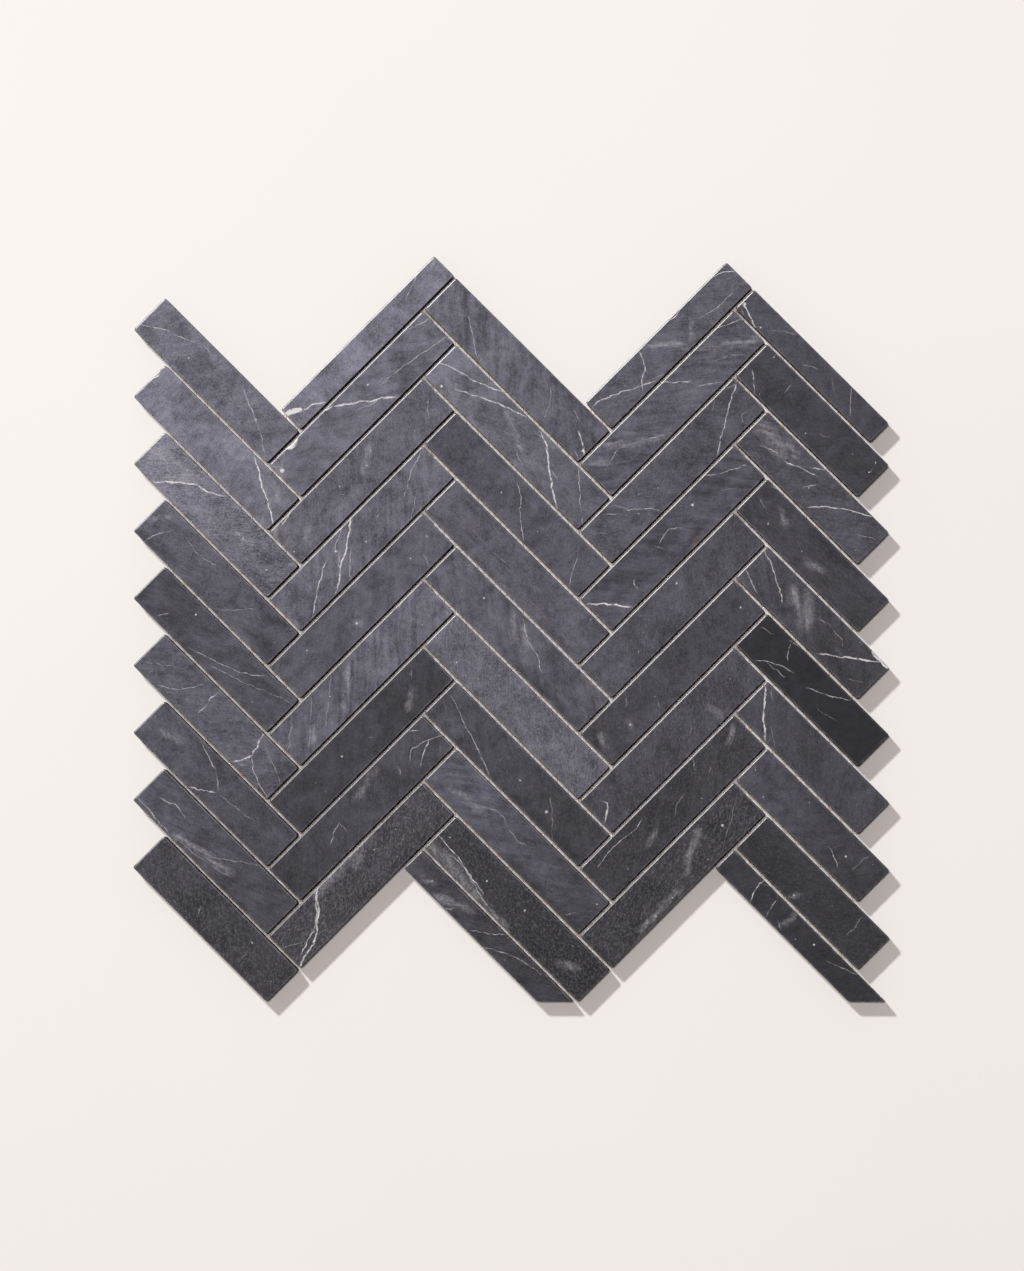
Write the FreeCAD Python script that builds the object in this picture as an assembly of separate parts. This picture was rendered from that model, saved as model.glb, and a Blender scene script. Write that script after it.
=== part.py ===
import FreeCAD, Part
import math
import os

# Herringbone mosaic sheet: sawn marble strips laid end to side at 45 degrees and glued on an open
# glass-fibre mesh. The strips of the odd columns fall to the right, those of the even columns rise to
# the right. The origin is under the middle of the sheet, X runs across it, Y up it and Z out of the
# honed face.

# Driving dimensions, mm
STRIP_LENGTH = 96.0
STRIP_WIDTH = 20.0
STRIP_THICKNESS = 10.0
JOINT = 1.0                     # open joint between neighbouring strips
ARRIS = 0.5                     # flat rubbed along the honed face and down the corners

# Strips cut down to give the sheet its outline
LEFT_LENGTH = 84.0              # first column, cut square at the outer end
RIGHT_LENGTH = 76.0             # last column, cut square at the outer end
COLUMN_2_TOP_WIDTH = 12.7
COLUMN_4_TOP_WIDTH = 16.4
COLUMN_5_TOP_WIDTH = 12.0
COLUMN_3_BOTTOM_WIDTH = 11.6
COLUMN_5_BOTTOM_WIDTH = 11.8

# Mesh backing: weft threads across the sheet, warp threads up the sheet on top of them
THREAD_PITCH = 5.0
THREAD_WIDTH = 0.9
THREAD_THICKNESS = 0.25
MESH_MARGIN = 2.5               # from the sheet's outline to the cut end of a thread

# First and last row of strips in each column, counted down the sheet
ROWS = {1: (0, 8), 2: (-1, 7), 3: (0, 9), 4: (-1, 7), 5: (0, 9)}

LAY_LENGTH = STRIP_LENGTH + JOINT
LAY_WIDTH = STRIP_WIDTH + JOINT
STRIP_BASE = 2 * THREAD_THICKNESS
HALF_THREAD = THREAD_WIDTH / 2
MERGE = 0.001                   # plans that meet within this count as one


def full_sides(column, row):
    """Sides of an uncut strip: two along the falling slant, then two along the rising slant."""
    block = (column - 1) // 2 * LAY_LENGTH
    step = row * LAY_WIDTH
    if column % 2:
        fall, rise, fall_size, rise_size = block + step, block - step, STRIP_LENGTH, STRIP_WIDTH
    else:
        fall, rise, fall_size, rise_size = block + LAY_LENGTH + step, block - step, STRIP_WIDTH, STRIP_LENGTH
    return [fall, fall + fall_size, rise, rise + rise_size]


def cut_sides(column, row):
    """Sides of the strip as it lies in the sheet, after the square cuts and the rips."""
    fall_0, fall_1, rise_0, rise_1 = full_sides(column, row)
    first, last = ROWS[column]
    if column == 1:
        fall_0 = fall_1 - LEFT_LENGTH
    if column == 5:
        fall_1 = fall_0 + RIGHT_LENGTH
    if (column, row) == (2, first):
        fall_0 = fall_1 - COLUMN_2_TOP_WIDTH
    if (column, row) == (4, first):
        # Ripped, and its upper end trimmed flush with the ripped strip beside it
        fall_0 = fall_1 - COLUMN_4_TOP_WIDTH
        rise_1 = cut_sides(5, ROWS[5][0])[3]
    if (column, row) == (5, first):
        # Left longer than its neighbours, so that its tip is in line with theirs
        fall_1 += STRIP_WIDTH - COLUMN_5_TOP_WIDTH
        rise_1 = rise_0 + COLUMN_5_TOP_WIDTH
    if (column, row) in ((3, last), (5, last)):
        # Full length and set back a step, with its upper end against the last strip of the column before
        fall_0 -= LAY_WIDTH
        fall_1 = fall_0 + STRIP_LENGTH
        rise_0 = rise_1 - (COLUMN_3_BOTTOM_WIDTH if column == 3 else COLUMN_5_BOTTOM_WIDTH)
    return [fall_0, fall_1, rise_0, rise_1]


def on_sheet(fall, rise):
    """A point on the two slants as X and Y on the sheet, before it is centred."""
    return ((fall + rise) / math.sqrt(2), (rise - fall) / math.sqrt(2))


def corners(sides, grow=0.0):
    """The four corners of a strip, counter-clockwise from its left one."""
    fall_0, fall_1, rise_0, rise_1 = sides
    fall_0, fall_1, rise_0, rise_1 = fall_0 - grow, fall_1 + grow, rise_0 - grow, rise_1 + grow
    return [on_sheet(fall_0, rise_0), on_sheet(fall_1, rise_0),
            on_sheet(fall_1, rise_1), on_sheet(fall_0, rise_1)]


def cut_level(outline, level):
    """The part of an outline that lies above a level saw cut across the foot of the sheet."""
    kept = []
    for (x_0, y_0), (x_1, y_1) in zip(outline, outline[1:] + outline[:1]):
        if y_0 >= level:
            kept.append((x_0, y_0))
        if min(y_0, y_1) < level < max(y_0, y_1):
            share = (level - y_0) / (y_1 - y_0)
            kept.append((x_0 + share * (x_1 - x_0), level))
    return kept


# The level cut runs through the lowest corner of the first column's last strip
FOOT = min(y for x, y in corners(cut_sides(1, ROWS[1][1])))


def plan(column, row, grow=0.0):
    return cut_level(corners(cut_sides(column, row), grow), FOOT)


STRIPS = [(column, row) for column, (first, last) in ROWS.items() for row in range(first, last + 1)]
ALL_CORNERS = [point for strip in STRIPS for point in plan(*strip)]
LOW = [min(point[axis] for point in ALL_CORNERS) for axis in (0, 1)]
HIGH = [max(point[axis] for point in ALL_CORNERS) for axis in (0, 1)]
MIDDLE = [(low + high) / 2 for low, high in zip(LOW, HIGH)]


def centred(outline):
    return [(x - MIDDLE[0], y - MIDDLE[1]) for x, y in outline]


def marble_strip(column, row):
    """One sawn strip, with its arrises eased on the honed face and at the upright corners."""
    points = [FreeCAD.Vector(x, y, STRIP_BASE) for x, y in centred(plan(column, row))]
    face = Part.Face(Part.makePolygon(points + points[:1]))
    block = face.extrude(FreeCAD.Vector(0, 0, STRIP_THICKNESS))
    back = [edge for edge in block.Edges if edge.BoundBox.ZMax < STRIP_BASE + STRIP_THICKNESS / 2]
    eased = [edge for edge in block.Edges if not any(edge.isSame(other) for other in back)]
    return block.makeChamfer(ARRIS, eased)


# Each strip's plan with half of the joint round it, so that neighbours meet
BEDS = [centred(plan(column, row, JOINT / 2)) for column, row in STRIPS]


def covered(place, across):
    """Stretches of the sheet that lie on a line at one place across axis 0 or 1."""
    along = 1 - across
    stretches = []
    for bed in BEDS:
        hits = []
        for start, end in zip(bed, bed[1:] + bed[:1]):
            if (start[across] >= place) != (end[across] >= place):
                share = (place - start[across]) / (end[across] - start[across])
                hits.append(start[along] + share * (end[along] - start[along]))
        if hits:
            stretches.append([min(hits), max(hits)])
    joined = []
    for low, high in sorted(stretches):
        if joined and low <= joined[-1][1] + MERGE:
            joined[-1][1] = max(joined[-1][1], high)
        else:
            joined.append([low, high])
    return joined


def thread_runs(across):
    """Each thread's place and the stretch of it that stays inside the sheet."""
    count = math.ceil((HIGH[across] - LOW[across]) / 2 / THREAD_PITCH)
    for number in range(-count, count + 1):
        place = number * THREAD_PITCH
        for low_a, high_a in covered(place - HALF_THREAD, across):
            for low_b, high_b in covered(place + HALF_THREAD, across):
                low = max(low_a, low_b) + MESH_MARGIN
                high = min(high_a, high_b) - MESH_MARGIN
                if high - low > THREAD_PITCH:
                    yield place, low, high


def mesh_weft():
    """Threads across the sheet, which lie on the wall or floor."""
    return Part.makeCompound([
        Part.makeBox(high - low, THREAD_WIDTH, THREAD_THICKNESS, FreeCAD.Vector(low, y - HALF_THREAD, 0))
        for y, low, high in thread_runs(1)])


def mesh_warp():
    """Threads up the sheet, glued between the weft and the backs of the strips."""
    return Part.makeCompound([
        Part.makeBox(THREAD_WIDTH, high - low, THREAD_THICKNESS,
                     FreeCAD.Vector(x - HALF_THREAD, low, THREAD_THICKNESS))
        for x, low, high in thread_runs(0)])


os.makedirs("parts", exist_ok=True)
for column, row in STRIPS:
    number = row - ROWS[column][0] + 1
    marble_strip(column, row).exportStep(f"parts/column_{column}_strip_{number:02d}.step")
mesh_weft().exportStep("parts/mesh_weft.step")
mesh_warp().exportStep("parts/mesh_warp.step")
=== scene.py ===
import math

import bpy
import numpy as np
from mathutils import Matrix, Vector


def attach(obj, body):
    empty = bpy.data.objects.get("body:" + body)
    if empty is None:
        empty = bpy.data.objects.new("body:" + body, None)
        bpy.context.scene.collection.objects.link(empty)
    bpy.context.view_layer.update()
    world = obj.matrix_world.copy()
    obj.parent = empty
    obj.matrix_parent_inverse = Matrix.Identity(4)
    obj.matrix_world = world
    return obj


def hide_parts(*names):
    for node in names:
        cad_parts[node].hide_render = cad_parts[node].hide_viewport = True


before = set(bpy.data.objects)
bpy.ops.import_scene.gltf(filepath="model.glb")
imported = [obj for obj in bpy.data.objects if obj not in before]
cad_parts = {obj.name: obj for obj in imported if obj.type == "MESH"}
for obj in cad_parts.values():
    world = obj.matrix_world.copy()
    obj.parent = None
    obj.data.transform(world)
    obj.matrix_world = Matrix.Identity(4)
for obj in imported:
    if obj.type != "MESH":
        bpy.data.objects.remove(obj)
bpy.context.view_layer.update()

# Herringbone sheet of honed charcoal marble strips on a glass-fibre mesh, lying face up on a pale floor.
# Strips are made in millimetres in their own lay: x along the strip, y across it, z up from its back.
MM = 0.001

# Strip finish, mm
CELL = 0.9                  # mesh cell on the honed face
RINGS_DEEP = 8              # mesh rings down the sawn sides
RING_DRAW = 14.0            # draws the mesh rings together towards the edges
CORNER = 1.0                # radius of the upright corners
ARRIS_WIDTH = 0.20          # eased arris, across the honed face
ARRIS_DEPTH = 0.18          # eased arris, down the side
BACK_ARRIS = 0.4            # the back edges are left sharper, as a share of the face's arris
ROLL_WIDTH = 0.60           # the honing pad rolls over the edge and leaves a slight slope this wide
ROLL_SLOPE = 0.28           # fall of that slope for each mm across
SAW_WANDER = 0.26           # most that a sawn side strays inwards
CHIP_SPACING = 8.5          # between the middles of neighbouring chips, about
CHIP_REACH = 1.7            # from a chip's middle to its end
CHIP_DEPTH = 0.6            # most that a chip adds to the arris
VEIN_TAPER = 2.0            # a vein thins out over this length at its ends
SPECK_REACH = 3.0           # a speck is drawn no further from its middle than this
FAR_VEIN = 1000.0           # stands for no vein near a point
FAR_SPECK = 100.0           # stands for no speck near a point
NOTCH_REACH = 4.0           # a notch moves the stone this far in from the edge
NOTCH_FADE = 5.0            # height above the back at which a notch has faded out

# Mesh backing, mm
THREAD_STEPS = 3            # points along a thread from one crossing to the next
THREAD_WANDER = 0.10        # most that a thread strays to either side
THREAD_SAG = 0.9            # how far the warp drops between two weft threads, as a share of its thickness
THREAD_SIDES = 6            # points across a thread's dome

# Photograph's view: lens and stance found by fitting the joints of the sheet
PHOTO_HEIGHT = 1271
FOCAL_PIXELS = 8000.0
SENSOR = 36.0
CAMERA_DISTANCE = 3.5238
CAMERA_AIM = Vector((0.00073, -0.00325, 0.0105))
CAMERA_LEAN_X = math.radians(2.4)
CAMERA_LEAN_Y = math.radians(-2.0)

# Stone
VEIN_GROUPS = 3             # groups of three pale veins; one group each of soft, rusty and dark lines follows
SOFT_GROUP = VEIN_GROUPS
RUST_GROUP = VEIN_GROUPS + 1
DARK_GROUP = VEIN_GROUPS + 2
GROUP_OF = {"veil": SOFT_GROUP, "haze": SOFT_GROUP, "rust": RUST_GROUP, "stain": RUST_GROUP,
            "seam": DARK_GROUP, "gloom": DARK_GROUP}
SIDE_LIMIT = 0.3            # faces that lean more than this are left as sawn
BEDDING = 2.2               # contrast of the strongest bedding streaks
STONE_SHIFT = (31.0, 17.0, 7.0)   # from one strip to the next in the slab's patterns, mm

# Colours, sRGB
MARBLE = "51515a"
# sides and back: the stone's dark brown, darkened further as painted shade
MARBLE_SAWN_AND_SHADE = "2c2421"
CRYSTAL = "b9b8bd"
CALCITE = "dedcdb"
IRON_STAIN = "94705c"
BRUISE = "a5a2a1"
FIBRE = "e4d5c8"
FIBRE_PALE = "eee0d4"
BOARD = "f3f1eb"
BOARD_PALE = "f7f5f0"
FILL = "fff7f8"

# Light: degrees, metres, and the share of full light that each gives a level surface
KEY_AZIMUTH = 128.5
KEY_ELEVATION = 52.0
LAMP_DISTANCE = 5.0
LAMP_SIZE = 0.40
KEY_SHARE = 0.49
TOP_ELEVATION = 88.2
TOP_SHARE = 0.38
WORLD_SHARE = 0.13

# Kinds of node that are used often
MATH = "ShaderNodeMath"
VECTOR = "ShaderNodeVectorMath"
NOISE = "ShaderNodeTexNoise"
CELLS = "ShaderNodeTexVoronoi"
RANGE = "ShaderNodeMapRange"
SPLIT = "ShaderNodeSeparateXYZ"
JOIN = "ShaderNodeCombineXYZ"
BLEND = "ShaderNodeMix"
READ = "ShaderNodeAttribute"
BUMP = "ShaderNodeBump"
SHADER = "ShaderNodeBsdfPrincipled"


def linear(hex_colour):
    """An sRGB hex colour as linear RGBA."""
    parts = [int(hex_colour[i:i + 2], 16) / 255 for i in (0, 2, 4)]
    return [c / 12.92 if c <= 0.04045 else ((c + 0.055) / 1.055) ** 2.4 for c in parts] + [1.0]


def add(tree, kind, *values, out=0, sockets=None, **settings):
    """Adds a node with its settings, fills its sockets with values or links, and gives one of its outputs."""
    node = tree.nodes.new(kind)
    for name, value in settings.items():
        setattr(node, name, value)
    for key, value in [*enumerate(values), *(sockets or {}).items()]:
        if isinstance(value, bpy.types.NodeSocket):
            tree.links.new(value, node.inputs[key])
        elif value is not None:
            node.inputs[key].default_value = value
    return node.outputs[out] if node.outputs else None


# Stone data: each strip's shade, partly its own tone and partly a painted fall-off of sheen across the sheet,
# darker towards its lower right; how far that drifts from its near end to its far end, a painted change of
# sheen along the strip; the slope of its bedding streaks in degrees and how strong they are, and how frosted
# with fine
# pale grains it is. Then its veins: kind, and points in mm in its lay. Veins are placed one by one. Shades
# and drifts were adjusted against each strip's level in the photograph.
PAINTED_SHEEN_AND_TONE_WORDS = {"silver": 1.95, "pale": 1.60, "clear": 1.42, "light": 1.24, "fair": 1.03, "mid": 0.85, "dim": 0.72,
          "deep": 0.58, "dark": 0.47, "murky": 0.41, "dusk": 0.36, "inky": 0.29, "jet": 0.23,
          "black": 0.20}
VEIN_KINDS = {              # half width in mm, strength
    "hair": (0.17, 0.52),
    "fine": (0.23, 0.76),
    "vein": (0.33, 1.05),
    "bold": (0.45, 1.50),
    "lens": (1.25, 5.00),
    "veil": (2.20, 0.72),
    "haze": (5.00, 0.75),
    "rust": (0.24, 0.75),
    "stain": (2.40, 0.40),
    "seam": (0.35, 0.80),
    "gloom": (3.40, 0.85),
}
STRIPS = {
    "column_1_strip_01": ("pale", -0.2, 60, 0.3, 0.3, [
        ("speck", (26.5, 8.5, 0.5), (62, 4, 0.35), (9, 14, 0.35)),
        ("fine", (0, 3), (6, 7.3), (11, 10.3), (17, 12.3), (24, 15.4)),
        ("hair", (26, 17), (30, 17), (35, 15.6)),
        ("fine", (52, 16.4), (60, 13), (68, 9.6), (74, 6.5), (81, 1.8))]),
    "column_1_strip_02": ("silver", -0.2, 100, 0.3, 0.3, [
        ("speck", (45, 8, 0.45), (28, 4, 0.4), (12, 13, 0.35)),
        ("bold", (57, 19), (63, 15.8), (68, 12.5), (73, 10.4), (77, 8.3), (84, 3.8)),
        ("hair", (70, 12.6), (76, 9.8), (80, 7.4)),
        ("veil", (72, 17), (79, 12)),
        ("gloom", (66, 20), (84, 19.5))]),
    "column_1_strip_03": ("pale", -0.6, 45, 0.4, 0.9, [
        ("speck", (18.2, 6.4, 1), (19, 15, 0.5), (75, 8.5, 0.5), (58, 11, 0.6)),
        ("bold", (12, 0.4), (18, 6.8), (22, 9.6), (26, 13), (32, 14.3), (35, 16.2), (39, 18.4)),
        ("veil", (12, 9.5), (20, 6)),
        ("veil", (52, 10), (63, 13)),
        ("haze", (1, 9), (22, 13)),
        ("gloom", (66, 3), (84, 4))]),
    "column_1_strip_04": ("fair", -0.35, 20, 0.5, 0.1, [
        ("speck", (41, 7, 0.4), (67, 12.5, 0.4)),
        ("veil", (1, 8), (8, 16)),
        ("fine", (7, 1), (9, 6.8), (12.5, 13.6)),
        ("hair", (18, 14.6), (28, 12.8), (38, 15.6)),
        ("hair", (51, 1.7), (57, 8), (63, 14)),
        ("seam", (50, 2), (56, 8), (62, 14)),
        ("gloom", (4, 1), (24, 3)),
        ("gloom", (66, 4), (84, 6))]),
    "column_1_strip_05": ("dim", 0.3, 25, 0.5, 0.2, [
        ("speck", (25, 14.5, 0.6), (70, 5, 0.35)),
        ("vein", (13.4, 2.2), (16.2, 6.4)),
        ("fine", (33, 2), (40, 4.3), (50, 7.5), (60, 12), (67, 17.8)),
        ("hair", (45, 3), (60, 8), (75, 14), (83, 17))]),
    "column_1_strip_06": ("fair", 0.0, 40, 0.6, 0.3, [
        ("bold", (62.2, 20), (64, 15.3), (65.5, 8.8), (63.5, 4.3), (60.6, 0)),
        ("fine", (65.5, 8.8), (70, 5.5), (77, 2.5), (84, 0.6)),
        ("fine", (63.6, 2.2), (67, 4.4)),
        ("fine", (14, 2), (18, 4), (22, 6.9), (25, 10.7), (28.5, 17)),
        ("vein", (35.6, 18), (34.6, 13.7), (35.6, 9.7), (35.5, 5.7)),
        ("hair", (3, 5), (10, 10), (18, 15.5)),
        ("hair", (66, 17), (84, 9))]),
    "column_1_strip_07": ("dim", -0.4, -30, 0.3, 0.2, [
        ("fine", (24, 18.6), (33, 15.7), (38, 14), (41, 12.2), (45, 8.6)),
        ("vein", (45, 7.6), (42, 5.3), (38, 2.8), (34.6, 0.8)),
        ("hair", (46, 7.5), (57, 9.2), (62, 9.7), (65.5, 10.8)),
        ("veil", (8, 9), (18, 13))]),
    "column_1_strip_08": ("dim", -0.45, 20, 0.8, 0.2, [
        ("fine", (0, 2.6), (12, 1.8), (22, 0.8)),
        ("fine", (8, 9), (15, 12), (23, 11)),
        ("veil", (24, 2.6), (35, 5), (45, 7.3), (54, 9)),
        ("hair", (26, 1.6), (40, 3.2), (55, 6.5)),
        ("hair", (42, 6), (52, 13.7), (61, 19.6))]),
    "column_1_strip_09": ("dusk", -0.5, -40, 0.6, 0.5, [
        ("speck", (4, 3, 0.5), (19.5, 4, 0.45), (36, 7.5, 0.45), (61, 14, 0.6), (79, 8, 0.4)),
        ("hair", (62, 11), (63, 4)),
        ("fine", (33, 9), (36, 5.6))]),
    "column_2_strip_01": ("silver", 0.0, 30, 0.2, 0.2, [
        ("speck", (27, 6.5, 0.45), (51, 13, 0.35)),
        ("lens", (0, 9.6), (3, 8.4), (6.6, 5.8)),
        ("bold", (6, 6), (11, 4.2), (16.5, 0.8)),
        ("fine", (73, 8), (80, 10), (86, 12.4)),
        ("veil", (90, 10), (95, 12))]),
    "column_2_strip_02": ("pale", 0.1, -35, 0.5, 0.1, [
        ("speck", (2.5, 14, 1.3), (31, 9, 0.4), (70, 14, 0.35), (56, 14, 0.7)),
        ("bold", (33, 20), (38, 18.3), (43, 15), (47, 12), (52, 8), (56, 5.4), (62.4, 0.6)),
        ("fine", (44, 9.8), (51, 7), (55.4, 5.8)),
        ("fine", (60, 10), (66, 9.5), (74, 8.5), (84, 6.5), (92, 5), (96, 4.2)),
        ("fine", (83.6, 19.4), (88.4, 17.6), (96, 15)),
        ("lens", (11, 19.4), (14, 18.6), (16.6, 19.6)),
        ("hair", (0, 19.6), (3.4, 15), (6.4, 17.6), (10, 19.4))]),
    "column_2_strip_03": ("light", -0.1, 50, 0.5, 0.3, [
        ("speck", (2, 6, 0.5), (36.5, 12, 0.5), (35, 8.5, 0.4), (51.5, 10, 0.6), (29, 19, 0.4),
         (77, 6, 0.4)),
        ("haze", (0, 18.8), (7, 18.4)),
        ("vein", (4.6, 17.6), (9, 18.4), (15, 19.6)),
        ("veil", (48, 9), (54, 11.5), (59, 15.4)),
        ("hair", (54, 10.6), (58.5, 15.4)),
        ("veil", (8, 4), (14, 10)),
        ("hair", (85, 4), (88, 9), (92, 12))]),
    "column_2_strip_04": ("light", 0.0, 45, 0.8, 0.3, [
        ("speck", (36, 14, 0.8), (48.5, 7.5, 0.5), (60, 12, 0.5)),
        ("bold", (22.6, 0.8), (28, 4), (31, 7), (35, 9), (40, 11.5), (44, 14.5), (51.4, 20)),
        ("fine", (36.4, 12), (35.8, 15), (40, 17), (46.4, 20)),
        ("vein", (8, 0.8), (13, 4), (19, 8), (24, 11), (31, 14.4)),
        ("fine", (31.6, 1), (36, 5.5), (41.4, 9.8)),
        ("fine", (28.4, 3.4), (32, 8), (37, 13)),
        ("fine", (74, 9.3), (80, 12.5), (86, 16), (94, 18.4)),
        ("hair", (69, 0.4), (79, 7))]),
    "column_2_strip_05": ("fair", 0.2, 40, 0.4, 0.1, [
        ("speck", (17, 13, 0.5), (41, 6, 0.7), (78, 9.5, 0.5), (90, 11, 0.6)),
        ("veil", (42.4, 4), (40, 7)),
        ("fine", (81.6, 1.6), (83.6, 6.6)),
        ("fine", (90, 9.8), (90.6, 12.4)),
        ("hair", (77.6, 8.4), (79.4, 10.6))]),
    "column_2_strip_06": ("light", 0.3, 45, 1.0, 0.1, [
        ("speck", (31, 12.5, 0.45), (82, 6, 0.4), (91.5, 18, 0.4)),
        ("hair", (0, 8), (12, 17)),
        ("veil", (10, 3), (16, 8)),
        ("hair", (8, 2.6), (25, 18)),
        ("hair", (20, 4), (38, 19)),
        ("veil", (30, 2), (46, 16)),
        ("fine", (78, 18), (83, 20))]),
    "column_2_strip_07": ("dark", 0.0, 40, 0.4, 0.1, [
        ("speck", (37, 11, 0.8), (52, 8, 0.5), (20.5, 11, 0.4), (21, 5, 0.4), (84, 15.5, 0.5)),
        ("veil", (72, 5), (80, 10)),
        ("hair", (83, 13), (86, 17))]),
    "column_2_strip_08": ("deep", 0.45, 45, 0.5, 0.2, [
        ("fine", (26.6, 8.2), (32, 11), (37.4, 12.6)),
        ("hair", (36.6, 12.4), (36, 6.4)),
        ("fine", (70, 7.8), (72.4, 11.6)),
        ("fine", (77, 9), (82, 12.4), (88, 11), (96, 7)),
        ("vein", (79.4, 4.4), (85, 8), (90.6, 9.6)),
        ("fine", (86.6, 19.6), (90.4, 15.4)),
        ("veil", (49, 14.6), (57, 15.6), (65, 18))]),
    "column_2_strip_09": ("murky", 0.2, 30, 0.2, 0.7, [
        ("speck", (60, 14, 0.5), (65, 4.5, 0.45), (52, 3, 0.4), (73, 13.5, 0.4)),
        ("bold", (0, 0.6), (6, 2.6), (12, 3.6), (17, 6.5), (21, 10), (25, 13.5), (28, 18), (31, 20)),
        ("vein", (4, 4), (12, 6.6), (18, 8.6), (22, 11.7), (26, 16), (28.6, 20)),
        ("haze", (28, 19), (44, 19.6), (62, 20)),
        ("veil", (48, 15.6), (55, 17)),
        ("hair", (0, 12), (9.6, 7.2)),
        ("gloom", (40, 2), (94, 3))]),
    "column_3_strip_01": ("light", -0.4, -45, 0.9, 0.2, [
        ("speck", (94, 5, 0.7), (45, 10, 0.35)),
        ("fine", (16, 11.8), (22, 8), (28, 4), (33, 1)),
        ("hair", (30, 4), (36, 0)),
        ("hair", (64, 15.6), (69, 9.6), (72, 2.6)),
        ("fine", (77.4, 15.8), (85.4, 12.8)),
        ("bold", (86.6, 10.2), (91, 7.6), (96, 4)),
        ("fine", (90.6, 3.2), (96, 1)),
        ("hair", (53.6, 16.6), (57, 13))]),
    "column_3_strip_02": ("clear", -0.6, 20, 0.4, 0.3, [
        ("speck", (8.5, 2.5, 0.9), (50, 4, 0.35)),
        ("vein", (0, 8.8), (5, 11.4), (12, 13), (20, 15.4), (25, 17.8), (31, 20)),
        ("vein", (13.4, 5.6), (20, 9), (25, 11.5), (32, 15), (38, 17), (45, 19.4)),
        ("veil", (36, 14.4), (44, 12), (52, 8.5), (59, 5.6)),
        ("hair", (49, 7), (60, 2)),
        ("bold", (54, 19.4), (60, 16.5), (65, 13), (68, 10), (73, 6.5), (76, 4.5), (83, 0.4)),
        ("fine", (52.6, 16.4), (56.4, 18.8)),
        ("hair", (68.6, 10.6), (75, 9)),
        ("fine", (77, 20), (83, 14), (88, 9.5), (96, 3))]),
    "column_3_strip_03": ("mid", 0.0, -50, 0.2, 0.1, [
        ("speck", (39.5, 8.8, 0.6), (63, 8, 0.45), (19, 13, 0.4)),
        ("fine", (41.4, 17), (47, 13.5), (51, 9), (56, 5), (61.4, 0.2)),
        ("fine", (83.2, 12.6), (86, 7), (90, 0.6))]),
    "column_3_strip_04": ("fair", 0.0, 5, 0.4, 0.0, [
        ("speck", (86, 18, 0.45)),
        ("rust", (0, 13.2), (5, 12)),
        ("rust", (12, 10.2), (23, 9), (30, 8.8)),
        ("rust", (52, 4.6), (60, 4.2), (66.6, 5.2), (77.6, 3.7), (84, 4.8), (91, 5.6)),
        ("hair", (34, 8.4), (46, 9.6)),
        ("hair", (46, 0.8), (52, 2.4))]),
    "column_3_strip_05": ("fair", -0.25, -35, 0.6, 0.2, [
        ("speck", (25, 12.5, 0.8), (10, 18, 0.4)),
        ("veil", (38, 18.6), (43, 13), (48, 8)),
        ("fine", (43, 18.4), (52, 13), (60, 11), (66.6, 7.2)),
        ("veil", (46, 18), (54, 10)),
        ("rust", (77, 19.8), (85, 17.5), (91, 15), (96, 14.4)),
        ("gloom", (56, 1), (94, 3))]),
    "column_3_strip_06": ("light", -0.1, -45, 0.3, 0.6, [
        ("speck", (15.5, 5, 0.6), (60, 12, 0.35)),
        ("fine", (15.4, 3), (15.6, 6))]),
    "column_3_strip_07": ("deep", -0.65, -30, 0.5, 0.2, [
        ("speck", (51, 9, 0.6), (69, 7.5, 0.9)),
        ("fine", (2, 14.6), (8, 12), (14, 9.8), (22, 7.5), (30, 5), (40, 1)),
        ("hair", (65.4, 13.4), (70, 10), (75, 5), (80, 0.2)),
        ("gloom", (50, 2), (94, 3))]),
    "column_3_strip_08": ("mid", -0.65, 35, 0.8, 0.2, [
        ("speck", (92.5, 15.5, 0.5), (87, 4, 0.5)),
        ("hair", (26, 10), (31, 13), (36, 13.6), (42, 11.4), (48, 10.4), (52, 11.8)),
        ("vein", (46.6, 10.4), (48.6, 10.2)),
        ("veil", (10, 5), (27, 9)),
        ("fine", (50.4, 11), (52.4, 11.8)),
        ("hair", (85.6, 2), (88.6, 6.4)),
        ("seam", (68, 8), (72, 4)),
        ("gloom", (50, 2), (94, 2))]),
    "column_3_strip_09": ("jet", -0.65, -30, 0.5, 0.5, [
        ("speck", (30, 9.5, 0.7), (51, 12, 0.7), (5, 11.5, 0.5), (77, 16, 0.5)),
        ("haze", (0, 3), (15, 2.8), (32, 1)),
        ("vein", (0, 8.8), (7, 8), (15, 7.4), (24, 5.6), (33, 4.2)),
        ("fine", (10, 6.4), (20, 6.2), (30, 3.4), (45, 0.8)),
        ("veil", (18, 3.4), (36, 1.6), (52, 0.6)),
        ("veil", (77, 6.6), (86, 10.4))]),
    "column_3_strip_10": ("dark", -0.5, 35, 0.7, 0.2, [
        ("speck", (13, 5, 0.6), (60, 3, 0.35)),
        ("fine", (40, 1.4), (48, 7), (53, 11)),
        ("fine", (49, 0.4), (58, 5), (65, 8), (77, 10.4)),
        ("vein", (25, 0.4), (28.4, 3.2)),
        ("veil", (9, 3), (15, 6)),
        ("veil", (18, 1), (36, 8))]),
    "column_4_strip_01": ("fair", 0.0, -40, 0.4, 0.4, [
        ("vein", (0, 12.4), (4, 12.7), (9, 10.8), (15, 8.5), (20, 5), (24, 3.5), (29, 1.2)),
        ("vein", (33.2, 16.4), (31.5, 11.5), (29, 8), (24, 5), (21.4, 2.4)),
        ("hair", (24, 4.2), (30, 2.2), (34, 0.6)),
        ("veil", (37, 15.4), (42, 11), (46, 7), (49, 1)),
        ("fine", (62, 7.4), (67, 5.3), (73, 4.5), (80, 4.3), (82.4, 6.6)),
        ("vein", (79, 16), (84, 13.5), (88, 10.4)),
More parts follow.
